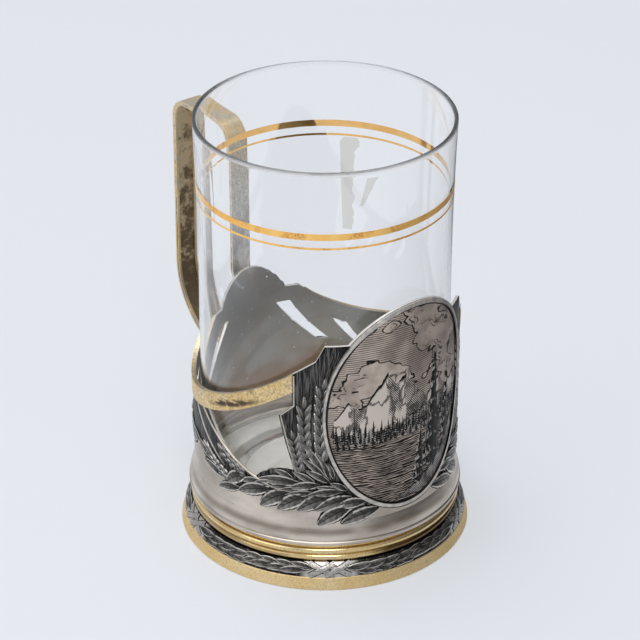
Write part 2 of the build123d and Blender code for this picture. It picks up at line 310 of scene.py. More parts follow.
def flat_grid(name, across, along):
    """A flat grid one unit wide and long, with so many faces across and along."""
    bpy.ops.object.select_all(action="DESELECT")
    bpy.ops.mesh.primitive_grid_add(x_subdivisions=across, y_subdivisions=along, size=1)
    grid = bpy.context.object
    grid.name = name
    return grid


def chased_leaf(name, across, along, outline, teeth=0.0):
    """A flat pattern for a leaf one unit long and wide, with sunk edges and midrib.

    The outline gives its breadths from foot to tip, and the teeth how deep its edge is notched.
    """
    leaf = flat_grid(name, across, along)
    spots = spots_of(leaf)
    side = 2 * spots[:, 0]
    reach = spots[:, 1] + 0.5
    breadth = np.interp(reach, np.linspace(0, 1, len(outline)), outline)
    breadth = breadth * np.where(np.round(reach * along) % 2 == 0, 1, 1 - teeth)
    bow = 0.10 * np.sin(np.pi * reach)
    swell = np.interp(np.abs(side), [0, 0.34, 0.67, 1], [0.62, 1.0, 0.8, -0.6])
    swell = swell * (0.55 + 0.45 * np.sin(np.pi * np.clip(reach * 0.9 + 0.05, 0, 1))) * (1 + 0.22 * side)
    swell = np.where(breadth > 0, swell, -0.6)
    move_spots(leaf, np.column_stack([side / 2 * breadth + bow, -swell, reach]))
    bpy.ops.object.mode_set(mode="EDIT")
    bpy.ops.mesh.select_all(action="SELECT")
    bpy.ops.mesh.remove_doubles(threshold=1e-7)
    bpy.ops.object.mode_set(mode="OBJECT")
    return leaf


def round_strip(name, across, along):
    """A flat pattern for a strip one unit long and wide, with a round back and sunk edges."""
    strip = flat_grid(name, across, along)
    spots = spots_of(strip)
    swell = np.interp(np.abs(2 * spots[:, 0]), [0, 0.5, 0.8, 1], [1.0, 0.9, 0.7, -0.6])
    move_spots(strip, np.column_stack([spots[:, 0], -swell, spots[:, 1] + 0.5]))
    return strip


def lay(pattern, foot, tip, width, relief):
    """A copy of a flat pattern from its foot to its tip, given as (run, height)."""
    run = tip[0] - foot[0]
    rise = tip[1] - foot[1]
    length = math.hypot(run, rise)
    across = Vector((rise, 0, -run)) * (width / length)
    deep = Vector((0, relief, 0))
    along = Vector((run, 0, rise))
    place = Matrix((across, deep, along)).transposed().to_4x4()
    place.translation = (foot[0], 0, foot[1])
    copy = pattern.copy()
    copy.data = pattern.data.copy()
    copy.data.transform(place)
    bpy.context.scene.collection.objects.link(copy)
    return copy


def joined(pieces, name):
    """The pieces as one."""
    bpy.ops.object.select_all(action="DESELECT")
    for piece in pieces:
        piece.select_set(True)
    bpy.context.view_layer.objects.active = pieces[0]
    bpy.ops.object.join()
    whole = bpy.context.object
    whole.name = name
    whole.data.name = name
    return whole


def roll_onto_band(piece):
    """Rolls a flat piece onto the band: run round it, height up its slope, relief off its face."""
    run, relief, climb = spots_of(piece).T
    turn = run / band_middle_radius
    share = climb / band_slope
    lift = 4 * band_crown * share * (1 - share) - relief
    radius = band_foot_radius - band_taper * share + band_rise / band_slope * lift
    height = band_low.z + band_rise * share + band_taper / band_slope * lift
    move_spots(piece, np.column_stack([radius * np.sin(turn), -radius * np.cos(turn), height]))


niello = (0.018, 0.018, 0.017, 1)
bindings = 5
binding_step = 360 / bindings


def wreath_ground(name):
    """Ground of the wreath: polished beside the ribbons and black between the leaves."""
    finish, shader, place = new_finish(name)
    angle, _, _ = round_the_axis(place)
    from_binding = angle.maths("PINGPONG", angle + 360, binding_step / 2)
    polished = ease(from_binding, binding_step / 2 - 13, binding_step / 2 - 9)
    rubbed = ease(mottle(place, 0.9 * mm, 3), 0.5, 0.75)
    black = blend(rubbed * 0.5, niello, (0.22, 0.21, 0.20, 1))
    wire(shader, Base_Color=blend(polished, black, (0.50, 0.47, 0.43, 1)), Roughness=0.34 - polished * 0.1)
    return finish


dress("laurel_band", wreath_ground("wreath_ground"))


def waves_of(value):
    """The sine of a value, for lines ruled side by side."""
    return value.maths("SINE", value)


def on_the_map(place):
    """Where a place lies on its pattern: its shares of the way across and along."""
    split = place.node("ShaderNodeSeparateXYZ", {0: place.outlet("UV")})
    return split.outlet("X"), split.outlet("Y")


def nielloed_leaves(name, light, shade, rubbed):
    """Leaves cut in white metal: one half light, one half dark and hatched, and a rubbed edge."""
    finish, shader, place = new_finish(name)
    across, reach = on_the_map(place)
    side = (across - 0.5) * 2
    wear = mottle(place, 1.6 * mm, 3)
    shaded = ease(side + (wear - 0.5) * 1.2, -0.3, 0.3)
    open_tone = ease(reach + (wear - 0.5) * 0.8, 0.15, 0.75) * (1 - shaded * 0.65)
    slant = reach * 34 - abs(side) * 7 + wear * 5
    veins = ease(waves_of(slant), 0.1, 0.9) * (0.3 + shaded * 0.25)
    midrib = (1 - ease(abs(side), 0.02, 0.09)) * 0.85
    edge = ease(abs(side), 0.46, 0.58) * (1 - ease(abs(side), 0.64, 0.72)) * (1 - shaded * 0.25)
    outline = ease(abs(side), 0.66, 0.76)
    dark = larger(veins, midrib)
    flesh = blend(dark, blend(open_tone, shade, light), niello)
    flesh = blend(edge * ease(wear, 0.3, 0.5), flesh, rubbed)
    wire(shader, Base_Color=blend(outline, flesh, niello), Roughness=0.34 + dark * 0.15)
    wire(shader, Normal=dents(1 - dark, 0.04 * mm))
    return finish


def on_band(angle, share):
    """A spot on the band as (run, climb), from degrees round it and a share of its slope."""
    return (math.radians(angle) * band_middle_radius, share * band_slope)


laurel_leaf = chased_leaf("laurel_leaf", 6, 8, (0.2, 0.62, 0.9, 1.0, 1.0, 0.9, 0.7, 0.4, 0.0))
ribbon_strip = round_strip("ribbon_strip", 6, 10)
first_leaf = 7.0
leaf_step = 6.6
leaf_turn = 11.2
last_tip = binding_step / 2 + 1.5
ribbon_half_turn = 5.2
wreath = []
ribbons = []
for binding in range(bindings):
    middle = binding_step * (binding + 0.5)
    for side in (-1, 1):
        for count in range(4):
            for level, start in ((0.76, 0.0), (0.24, 3.3)):
                root_turn = first_leaf + start + leaf_step * count
                tip_turn = min(root_turn + leaf_turn, last_tip)
                root = on_band(middle + side * root_turn, 0.36 + 0.28 * level)
                tip = on_band(middle + side * tip_turn, level)
                wreath.append(lay(laurel_leaf, root, tip, 2.8 * mm, 0.24 * mm))
        for shift in (-3.2, 3.2):
            low = on_band(middle + shift - side * ribbon_half_turn, 0.07)
            high = on_band(middle + shift + side * ribbon_half_turn, 0.93)
            ribbons.append(lay(ribbon_strip, low, high, 2.0 * mm, (0.16 + 0.05 * side) * mm))
wreath_leaves = joined(wreath, "wreath_leaves")
wreath_ribbons = joined(ribbons, "wreath_ribbons")
roll_onto_band(wreath_leaves)
roll_onto_band(wreath_ribbons)
wreath_niello = nielloed_leaves(
    "wreath_niello", (0.24, 0.225, 0.205, 1), (0.05, 0.047, 0.043, 1), (0.68, 0.64, 0.58, 1)
)
wreath_leaves.data.materials.append(wreath_niello)


def chased_ribbon(name):
    """Ribbon in white metal, matted with a fine punch and outlined in black."""
    finish, shader, place = new_finish(name)
    across, _ = on_the_map(place)
    punched = ease(mottle(place, 0.3 * mm, 1), 0.48, 0.62)
    dark = larger(punched * 0.55, ease(abs(across - 0.5), 0.30, 0.37))
    colour = blend(dark, (0.48, 0.455, 0.42, 1), niello)
    wire(shader, Base_Color=colour, Roughness=0.34 + dark * 0.3, Normal=dents(1 - dark, 0.03 * mm))
    return finish


wreath_ribbons.data.materials.append(chased_ribbon("ribbon_cuts"))
for piece in (wreath_leaves, wreath_ribbons):
    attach(piece, "holder")

# Beads and floor: two drawn half-round rings, gilded, on a plain white-metal floor plate.
# The lower ring's gilding stays bright at the front and is darkened brown round its sides and back as painted
# shade and painted reflection.
# The angle at the front, towards the camera, where the lower ring is left bright; elsewhere its brown is
# painted shade.
unshaded_front_angle = -36.0
# The dark brown of the painted shade on the lower ring.
painted_shade_brown = (0.13, 0.08, 0.032, 1)


def gilding_with_painted_shade(name):
    """Polished gilding, bright at the front angle and darkened brown round the rest of the ring as painted
    shade and reflection.
    """
    finish, shader, place = new_finish(name)
    colour, _, speckle = gilded(place, wear=-0.2, tarnish=0.02)
    angle, _, _ = round_the_axis(place)
    ragged = (mottle(place, 4 * mm, 4) - 0.5) * 30
    rightwards = angle - unshaded_front_angle + ragged
    # Painted shade: the brown grows away from the bright front angle, most towards the right.
    browned = ease(rightwards, 12, 30) * 0.85 + ease(0 - rightwards, 12, 22) * 0.4 + 0.1
    colour = blend(browned, colour, painted_shade_brown)
    wire(shader, Base_Color=colour, Roughness=0.12 + speckle * 0.08, Normal=dents(speckle, 0.003 * mm))
    return finish


dress("lower_bead_ring", gilding_with_painted_shade("lower_bead_gilding_painted_shade"))
bead_bore = 34.2 * mm
upper_gilding = gilding(
    "upper_bead_gilding", wear=-0.1, tarnish=0.02, roughness=0.12, grain=0.003 * mm, bare_within=bead_bore
)
dress("upper_bead_ring", upper_gilding)

warm_silver = (0.38, 0.335, 0.28, 1)
pale_silver = (0.68, 0.615, 0.535, 1)
grey_silver = (0.40, 0.38, 0.36, 1)


def white_metal(name, roughness, smear_and_shade_level=0.0):
    """Worn white metal: warm and pale clouds, fine turning marks, dark pits, and a dark brown band at a level
    that is partly a tarnish smear and partly a painted dark reflection.
    """
    finish, shader, place = new_finish(name)
    clouds = mottle(stretch(place, 1, 2.2), 16 * mm, 3)
    fine = mottle(stretch(place, 0.35, 6), 2.4 * mm, 3)
    colour = blend(ease(clouds + fine * 0.25, 0.4, 0.85), warm_silver, pale_silver)
    pits = ease(mottle(place, 1.6 * mm, 2), 0.76, 0.82)
    colour = blend(pits * 0.8, colour, brown_tarnish)
    height = place.node("ShaderNodeSeparateXYZ", {0: place}).outlet("Z")
    # The band at the level: part tarnish, part painted dark reflection in the hollow above the lip.
    near = 1 - ease(abs(height - smear_and_shade_level), 0.1 * mm, 1.6 * mm)
    colour = blend(near * ease(mottle(place, 15 * mm, 2), 0.36, 0.58) * 0.6, colour, brown_tarnish)
    wire(shader, Base_Color=colour, Roughness=roughness + fine * 0.1)
    wire(shader, Normal=dents(fine, 0.008 * mm))
    return finish


frosted_floor, floor_shader, floor_place = new_finish("frosted_floor")
floor_tone = ease(mottle(floor_place, 7 * mm, 3), 0.3, 0.7)
wire(floor_shader, Base_Color=blend(floor_tone, (0.78, 0.77, 0.73, 1), (0.86, 0.86, 0.83, 1)))
wire(floor_shader, Roughness=0.68 + floor_tone * 0.1)
dress("floor_plate", frosted_floor)

# Skirt: the flared collar between the foot and the wall, spun from sheet with a rolled lip.
# It is plain polished white metal with fine turning marks round it; a dark brown band above the lip is partly
# tarnish and partly a painted dark reflection.
# Level of the dark band that is part tarnish and part painted dark reflection.
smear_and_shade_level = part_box("skirt")[0].z + 3.9 * mm
dress("skirt", white_metal("skirt_metal", 0.24, smear_and_shade_level))

# Body wall: sheet rolled round, pierced with a saw between the ears, then struck and nielloed.
# Outside it is black between the ornament and plain below; inside it is bare, grey and stained brown.
wall_radius = 34.65 * mm
wall_sheet = 0.9 * mm
flare_foot = 36.0 * mm
flare_bend = 860.0 * mm
medallion_middle = 49.55 * mm
medallion_half_width = 24.0 * mm
medallion_half_height = 29.95 * mm
filed_silver = (0.80, 0.77, 0.72, 1)
# The foot of the black field, from the front round to the back: (share of the half turn, level).
field_unit = 100 * mm
field_stops = (
    (0.0, 0.30), (0.08, 0.25), (0.10, 0.225), (0.15, 0.235), (0.20, 0.24), (0.30, 0.25), (0.42, 0.245),
    (0.495, 0.245), (0.565, 0.263), (0.62, 0.29), (0.75, 0.31), (0.84, 0.34), (0.88, 0.6), (1.0, 1.0),
)


def oval_share(angle, height):
    """How far out a place lies on the medallion: 1 on the outer edge of its border."""
    across = angle * (math.pi / 180 * wall_radius / medallion_half_width)
    upward = (height - medallion_middle) / medallion_half_height
    return (across * across + upward * upward) ** 0.5


def sheet_outside(height):
    """The radius of the sheet's outer face at a height: straight at the foot and flared above it."""
    climb = larger(height - flare_foot, 0)
    return climb * climb / (2 * flare_bend) + wall_radius


def sheet_faces(distance, height):
    """1 on the cut edges of the wall's sheet, and 1 on its inner face."""
    outer = sheet_outside(height)
    inner_face = distance < outer - 0.9 * wall_sheet
    return (distance < outer - 0.2 * wall_sheet) * (1 - inner_face), inner_face


def bare_sheet(place, height):
    """The bare inside of the sheet, grey and browned towards the foot, and the specks of dust on it."""
    clouds = ease(mottle(place, 11 * mm, 4), 0.44, 0.66)
    grey = blend(clouds * 0.6, (0.49, 0.49, 0.46, 1), (0.42, 0.35, 0.25, 1))
    low = ease(36 * mm - height + (mottle(place, 9 * mm, 3) - 0.5) * (18 * mm), 0, 9 * mm)
    grey = blend(low * 0.85, grey, (0.36, 0.17, 0.045, 1))
    specks = place.node("ShaderNodeTexVoronoi", {"Vector": place, "Scale": 1 / (2.1 * mm)})
    dust = (1 - ease(specks, 0.08, 0.13)) * ease(mottle(place, 7 * mm), 0.44, 0.52)
    return blend(dust, grey, (0.85, 0.85, 0.83, 1)), dust


def pierced_wall(name):
    """The wall's finish: niello over the ornamented field, white metal below it, and a bare inside."""
    finish, shader, place = new_finish(name)
    angle, distance, height = round_the_axis(place)
    streaks = mottle(stretch(place, 1, 2.2), 16 * mm, 3)
    fine = mottle(place, 0.5 * mm, 3)
    metal = blend(ease(streaks + fine * 0.2, 0.4, 0.85), warm_silver, pale_silver)
    field_foot = place.node("ShaderNodeValToRGB", {0: abs(angle) / 180}, stops=field_stops) * field_unit
    ragged = (mottle(place, 1.6 * mm, 2) - 0.5) * (1.6 * mm)
    blackened = ease(height + ragged - field_foot, 0.0, 0.5 * mm)
    rubbed = ease(mottle(stretch(place, 3, 0.2), 1.2 * mm, 2), 0.45, 0.7)
    dark = blend(rubbed * 0.6, niello, (0.24, 0.23, 0.22, 1))
    colour = blend(blackened, metal, dark)
    colour = blend(1 - ease(oval_share(angle, height), 1.000, 1.008), colour, niello)
    edge, inner_face = sheet_faces(distance, height)
    colour = blend(edge, colour, filed_silver)
    inside, dust = bare_sheet(place, height)
    colour = blend(inner_face, colour, inside)
    wire(shader, Base_Color=colour, Roughness=0.26 + fine * 0.14 + blackened * 0.12)
    wire(shader, Normal=dents(fine, 0.03 * mm), Metallic=1 - dust * inner_face)
    return finish


dress("body_wall", pierced_wall("pierced_wall"))


def roll_onto_wall(piece):
    """Rolls a flat piece onto the wall: run round it, height up it, relief off its face."""
    run, relief, height = spots_of(piece).T
    turn = run / wall_radius
    climb = np.clip(height - flare_foot, 0, None)
    radius = wall_radius + climb ** 2 / (2 * flare_bend) - relief
    move_spots(piece, np.column_stack([radius * np.sin(turn), -radius * np.cos(turn), height]))


def left(angle, height):
    """A spot on the wall to the left of the medallion, as (run, height), from degrees and millimetres."""
    return (-math.radians(angle) * wall_radius, height * mm)


def mirrored(piece, name):
    """The like piece on the right of the medallion."""
    other = piece.copy()
    other.data = piece.data.copy()
    other.name = name
    other.data.name = name
    bpy.context.scene.collection.objects.link(other)
    move_spots(other, spots_of(other) * np.array([-1, 1, 1]))
    other.data.flip_normals()
    return other


# Sheaves and ears: ripe ears of grain beside the medallion and on the pierced strips behind it.
# They are struck in relief; the grains are rubbed bright and the awns are fine bright ridges.
grain = chased_leaf("grain", 4, 6, (0.35, 0.85, 1.0, 0.95, 0.8, 0.5, 0.0))
bpy.ops.object.select_all(action="DESELECT")
bpy.ops.mesh.primitive_cone_add(vertices=4, radius1=0.5, radius2=0.12, depth=1)
awn = bpy.context.object
awn.name = "awn"
spike = spots_of(awn)
move_spots(awn, np.column_stack([spike[:, 0], spike[:, 1] * 2, spike[:, 2] + 0.5]))


def ear_of_grain(foot, bend, end, pairs, kernel_share, breadth, awns):
    """Grains in pairs up the first part of a bent line, and awns along the rest of it."""
    foot, bend, end = (np.array(spot) for spot in (foot, bend, end))

    def spot(share, aside):
        middle = (1 - share) ** 2 * foot + 2 * share * (1 - share) * bend + share ** 2 * end
        course = 2 * (1 - share) * (bend - foot) + 2 * share * (end - bend)
        course = course / np.hypot(*course)
        return middle + aside * breadth * np.array([course[1], -course[0]])

    laid = []
    step = kernel_share / pairs
    for count in range(pairs):
        share = step * count
        slim = 1 - 0.3 * count / pairs
        for side in (-1, 1):
            start = share + (0.3 * step if side > 0 else 0)
            root = spot(start, 0.12 * side)
            tip = spot(start + 1.3 * step, (0.38 + 0.2 * (count / pairs) ** 3) * side)
            laid.append(lay(grain, root, tip, 0.66 * breadth * slim, 0.45 * mm))
    top = (spot(kernel_share, 0), spot(kernel_share + 1.4 * step, 0))
    laid.append(lay(grain, *top, 0.45 * breadth, 0.40 * mm))
    for count in range(awns):
        aside = count / (awns - 1) - 0.5
        start = kernel_share * (0.75 + 0.5 * ((count * 3) % 4) / 4)
        stop = 0.9 + 0.1 * ((count * 5) % 3) / 2
        laid.append(lay(awn, spot(start, 0.75 * aside), spot(stop, 1.5 * aside), 0.26 * mm, 0.2 * mm))
    return laid


ears = (
    ((39.4, 36.0), (42.6, 56.0), (34.0, 69.6), 8, 0.62, 3.8, 11),
    ((46.0, 37.0), (48.3, 50.0), (45.5, 64.2), 6, 0.58, 3.9, 11),
    ((48.6, 33.0), (51.7, 42.0), (53.2, 50.6), 5, 0.56, 3.4, 7),
    ((74.0, 28.8), (88.0, 31.6), (104.5, 40.6), 5, 0.46, 2.9, 7),
    ((84.0, 25.6), (102.0, 29.0), (124.0, 41.0), 6, 0.42, 3.4, 11),
    ((113.0, 27.6), (132.0, 31.5), (149.0, 43.0), 6, 0.42, 3.4, 11),
)
sheaf = []
for foot, bend, end, pairs, kernel_share, breadth, awns in ears:
    course = (left(*foot), left(*bend), left(*end))
    sheaf += ear_of_grain(*course, pairs, kernel_share, breadth * mm, awns)
sheaf_left = joined(sheaf, "sheaf_left")
roll_onto_wall(sheaf_left)
rubbed_ears = nielloed_leaves(
    "rubbed_ears", (0.46, 0.44, 0.415, 1), (0.15, 0.145, 0.135, 1), (0.60, 0.575, 0.54, 1)
)
sheaf_left.data.materials.append(rubbed_ears)
sheaf_right = mirrored(sheaf_left, "sheaf_right")

# Garland: oak and laurel leaves that run from under the medallion to the back of the holder.
# They are struck and chased in the same sheet as the ears, with niello in the cuts.
leaf_breadths = (0.25, 0.6, 0.88, 1.0, 1.0, 0.9, 0.7, 0.42, 0.0)
garland_leaf = chased_leaf("garland_leaf", 6, 14, leaf_breadths, teeth=0.07)
# Each leaf: the angle and height of its foot, those of its tip, and its width.
sprays = (
    (51.5, 31.2, 60.2, 33.2, 2.8), (42.0, 30.2, 52.2, 33.4, 3.0), (38.0, 32.0, 47.5, 42.5, 3.2),
    (36.0, 31.6, 41.3, 39.4, 2.4), (34.4, 31.8, 36.9, 36.6, 1.9), (38.0, 32.2, 48.4, 38.0, 2.8),
    (36.0, 30.6, 46.8, 34.2, 3.0), (62.0, 27.0, 78.3, 23.2, 5.6), (49.0, 30.2, 68.0, 29.2, 4.6),
    (54.0, 28.8, 62.4, 27.6, 2.4), (53.0, 27.2, 67.2, 20.9, 6.0), (50.0, 28.3, 57.9, 27.2, 2.2),
    (45.0, 26.6, 59.2, 21.0, 6.0), (43.0, 27.6, 55.6, 25.9, 3.0), (40.0, 30.0, 54.1, 28.3, 3.8),
    (36.0, 26.4, 50.4, 21.5, 6.0), (31.4, 28.0, 46.2, 26.5, 3.8), (32.0, 28.4, 42.5, 29.3, 2.6),
    (28.6, 28.2, 36.5, 30.6, 2.8), (26.4, 26.0, 42.9, 22.0, 5.6), (20.8, 24.3, 33.8, 23.3, 4.8),
    (27.5, 23.0, 41.8, 17.5, 6.4), (14.6, 21.6, 32.2, 17.9, 5.8), (66.0, 28.4, 76.5, 26.8, 3.2),
    (58.0, 29.0, 70.5, 27.2, 3.4), (138.0, 32.6, 151.0, 33.4, 3.6), (127.0, 31.6, 140.0, 32.0, 3.6),
    (116.0, 30.8, 129.0, 31.0, 3.6), (106.0, 29.6, 119.0, 30.4, 3.6), (96.0, 28.0, 109.0, 30.0, 3.8),
    (86.0, 25.2, 103.0, 26.2, 3.8), (77.0, 24.2, 90.6, 21.4, 4.0), (74.0, 28.9, 85.0, 24.0, 5.6),
)
garland = []
for count, (foot_angle, foot_height, tip_angle, tip_height, width) in enumerate(sprays):
    relief = (0.34 + 0.016 * (count % 23)) * mm
    ends = (left(foot_angle, foot_height), left(tip_angle, tip_height))
    garland.append(lay(garland_leaf, *ends, width * mm, relief))
garland_left = joined(garland, "garland_left")
roll_onto_wall(garland_left)
garland_niello = nielloed_leaves(
    "garland_niello", (0.27, 0.255, 0.235, 1), (0.05, 0.048, 0.044, 1), (0.72, 0.68, 0.62, 1)
)
garland_left.data.materials.append(garland_niello)
garland_right = mirrored(garland_left, "garland_right")

# Stems: the bright stem along the sill of each side window, and the bright edge of the sheaf's panel.
# Both are left proud of the sheet, then filed round and polished.
sill = (left(103, 41.8), left(91, 36.6), left(80, 31.3), left(69, 28.7), left(56, 27.2))
bpy.ops.curve.primitive_nurbs_path_add()
stem_left = bpy.context.object
stem_left.name = "stem_left"
for point, spot in zip(stem_left.data.splines[0].points, sill):
    point.co = (spot[0], 0, spot[1], 1)
stem_left.data.bevel_depth = 0.36 * mm
stem_left.data.bevel_resolution = 2
bpy.ops.object.convert(target="MESH")
roll_onto_wall(stem_left)
bright_stem = white_metal("bright_stem", 0.2)
outer_edge = (left(51.0, 61.7), left(51.0, 52.9))
window_edge = (left(51.0, 52.9), left(56.8, 49.6), left(54.9, 44.5), left(53.1, 39.6), left(50.0, 34.0))
filed = []
for course in (outer_edge, window_edge):
    for start, stop in zip(course[:-1], course[1:]):
        filed.append(lay(ribbon_strip, start, stop, 0.5 * mm, 0.14 * mm))
edges_left = joined(filed, "edges_left")
roll_onto_wall(edges_left)
edges_left.data.materials.append(bright_stem)
edges_right = mirrored(edges_left, "edges_right")
stem_left.data.materials.append(bright_stem)
stem_right = mirrored(stem_left, "stem_right")
left_half = (sheaf_left, garland_left, stem_left, edges_left)
right_half = (sheaf_right, garland_right, stem_right, edges_right)
for piece in left_half + right_half:
    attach(piece, "holder")

# Medallion: an oval plate let into the front of the wall, engraved with a mountain lake.
# Hills, firs and ripples are left in low relief, and the cuts between them are filled with niello.
shore = 41.0 * mm
plate_shade = (0.36, 0.297, 0.25, 1)
plate_light = (0.60, 0.505, 0.425, 1)


def engraved_plate(name):
    """Engraved plate: clouds left blank in a ruled sky above the shore, and close-ruled water below it."""
    finish, shader, place = new_finish(name)
    angle, distance, height = round_the_axis(place)
    puffs = place.node("ShaderNodeTexVoronoi", {"Vector": stretch(place, 1, 1.3), "Scale": 1 / (4.2 * mm)})
    cloud = mottle(stretch(place, 1, 1.7), 17 * mm, 3) - puffs * 0.12
    blank = ease(cloud, 0.435, 0.45)
    drawn = 1 - ease(abs(cloud - 0.44), 0.005, 0.013)
    folds = 2 - ease(abs(cloud - 0.48), 0.003, 0.009) - ease(abs(cloud - 0.52), 0.003, 0.009)
    folds = folds * ease(mottle(place, 5 * mm), 0.44, 0.52)
    sky = height * (2 * math.pi / (0.62 * mm)) + mottle(place, 9 * mm) * 5
    ruled = ease(waves_of(sky), 0.1, 0.7) * (1 - blank) * 0.75
    water = height * (2 * math.pi / (0.58 * mm)) + mottle(stretch(place, 1, 4), 6 * mm) * 16
    waves = ease(waves_of(water) + (mottle(stretch(place, 1, 4), 3 * mm) - 0.5) * 3, -0.9, 0.4)
    below = 1 - ease(height, shore - 0.3 * mm, shore + 0.3 * mm)
    beside_border = ease(oval_share(angle, height), 0.934, 0.944)
    lines = larger(larger(drawn, folds * 0.8), ruled)
    cuts = blend(below, lines, waves)
    tone = ease(mottle(place, 6 * mm, 3), 0.35, 0.7)
    metal = blend(tone, plate_shade, plate_light)
    colour = blend(larger(cuts, beside_border), metal, niello)
    edge, inner_face = sheet_faces(distance, height)
    colour = blend(edge, colour, filed_silver)
    inside, _ = bare_sheet(place, height)
    colour = blend(inner_face, colour, inside)
    fine = mottle(place, 0.4 * mm, 2)
    wire(shader, Base_Color=colour, Roughness=0.36 + fine * 0.16, Normal=dents(1 - cuts, 0.05 * mm))
    return finish


dress("medallion_plate", engraved_plate("engraved_plate"))


def lined_border(name):
    """The border's bright back between two black lines."""
    finish, shader, place = new_finish(name)
    angle, _, height = round_the_axis(place)
    share = oval_share(angle, height)
    lines = 1 - ease(share, 0.950, 0.957) * (1 - ease(share, 0.988, 0.994))
    head = ease(height, 70 * mm, 73 * mm)
    lines = lines.maths("MINIMUM", lines, 1 - head * ease(share, 0.97, 0.98))
    wear = mottle(place, 1.8 * mm, 3)
    metal = blend(ease(wear, 0.35, 0.65), grey_silver, (0.62, 0.57, 0.50, 1))
    wire(shader, Base_Color=blend(lines, metal, niello), Roughness=0.28 + wear * 0.1)
    return finish


dress("medallion_border", lined_border("lined_border"))

picture_half_width = medallion_half_width - 2.4 * mm
picture_half_height = medallion_half_height - 2.4 * mm


def oval_half_run(height):
    """Half the run of the landscape inside the border at a height."""
    share = (height - medallion_middle) / picture_half_height
    return picture_half_width * math.sqrt(max(0.0, 1 - share ** 2))


def oval_foot(run):
    """The lowest level of the landscape inside the border at a run."""
    share = run / picture_half_width
    return medallion_middle - picture_half_height * math.sqrt(max(0.0, 1 - share ** 2))


def ridge(name, foot, crest, relief):
    """A range of hills inside the border, from a level up to a crest of (run, height) from left to right.

    Its map holds the shade of each flank, dark to the right of a peak, and the climb from foot to crest.
    """
    hills = flat_grid(name, 64, 6)
    across, climb, _ = spots_of(hills).T
    runs, heights = np.array(crest).T
    run = runs[0] + (across + 0.5) * (runs[-1] - runs[0])
    share = climb + 0.5
    top = np.interp(run, runs, heights) + 0.3 * np.sin(across * 71) + 0.2 * np.sin(across * 133)
    low = np.array([max(foot, oval_foot(spot * mm) / mm) for spot in run])
    height = low + np.maximum(top - low, 0.2) * share
    aside = run + 1.6 * (1 - share) * np.sin(run * 1.3 + share * 4)
    slope = np.interp(aside + 0.4, runs, heights) - np.interp(aside - 0.4, runs, heights)
    flank = 0.5 - 0.5 * np.tanh(3 * slope)
    swell = relief * (0.55 + 0.45 * np.cos(np.pi * flank)) * (1 - 0.35 * share)
    swell[share > 0.99] = -0.05 * mm
    move_spots(hills, np.column_stack([run * mm, -swell, height * mm]))
    corners = np.empty(len(hills.data.loops), dtype=np.int32)
    hills.data.loops.foreach_get("vertex_index", corners)
    hills.data.uv_layers.active.data.foreach_set("uv", np.column_stack([flank, share])[corners].ravel())
    return hills


far_crest = [
    (-20.8, 49), (-17, 54.5), (-13.5, 52), (-6.5, 62), (-3.5, 58.5),
    (-1, 60), (6, 50.5), (10.5, 54.5), (15, 50), (20.8, 52),
]
near_crest = [(-20.8, 46.5), (-15, 45.5), (-9, 49), (-3, 46), (4, 47), (11, 49.5), (20.8, 46.5)]
bank_crest = [(-4, 22.6), (3, 25.6), (8, 28.2), (14, 33), (18.6, 39.5)]
far_hills = ridge("far_hills", 44.5, far_crest, 0.16 * mm)
near_hills = ridge("near_hills", 41.5, near_crest, 0.2 * mm)
near_bank = ridge("near_bank", 20.0, bank_crest, 0.24 * mm)


def hatched_hills(name, light, shading):
    """Hills drawn with slanting cuts: open on the lit flanks and close on the shaded ones."""
    finish, shader, place = new_finish(name)
    flank, climb = on_the_map(place)
    angle, _, height = round_the_axis(place)
    slant = angle * 6.9 + height * (9.2 / mm) + mottle(place, 4 * mm, 2) * 9
    weight = waves_of(slant) * 0.8 + flank * 2.0 + (mottle(place, 3 * mm, 3) - 0.5) * 3 - climb * 0.7 + shading
    cuts = ease(weight, 0.3, 1.1)
    ribs = 1 - ease(abs(mottle(stretch(place, 1, 0.4), 5 * mm, 3) - 0.5), 0.008, 0.028)
    outline = ease(climb, 0.84, 0.90)
    dark = larger(larger(cuts * 0.92, ribs * 0.75), outline)
    wire(shader, Base_Color=blend(dark, light, niello), Roughness=0.36 + dark * 0.15)
    return finish


far_hills.data.materials.append(hatched_hills("far_cuts", (0.62, 0.545, 0.48, 1), -0.5))
near_hills.data.materials.append(hatched_hills("near_cuts", (0.36, 0.33, 0.305, 1), 0.1))
near_bank.data.materials.append(hatched_hills("bank_cuts", (0.34, 0.31, 0.29, 1), 0.9))

fir_rows = 14
fir = flat_grid("fir", 4, fir_rows)
across, climb, _ = spots_of(fir).T
climb = climb + 0.5
tier = np.round(climb * fir_rows).astype(int)
breadth = (1.04 - climb) * np.where(tier % 2 == 0, 1.0, 0.62)
breadth[tier == 0] = 0.14
droop = np.where(tier % 2 == 0, -0.10, 0.0) * np.abs(across)
droop[tier == 0] = 0
bulge = np.interp(np.abs(across), [0, 0.25, 0.5], [1.0, 0.85, -0.1])
move_spots(fir, np.column_stack([across * breadth, -bulge, climb + droop]))

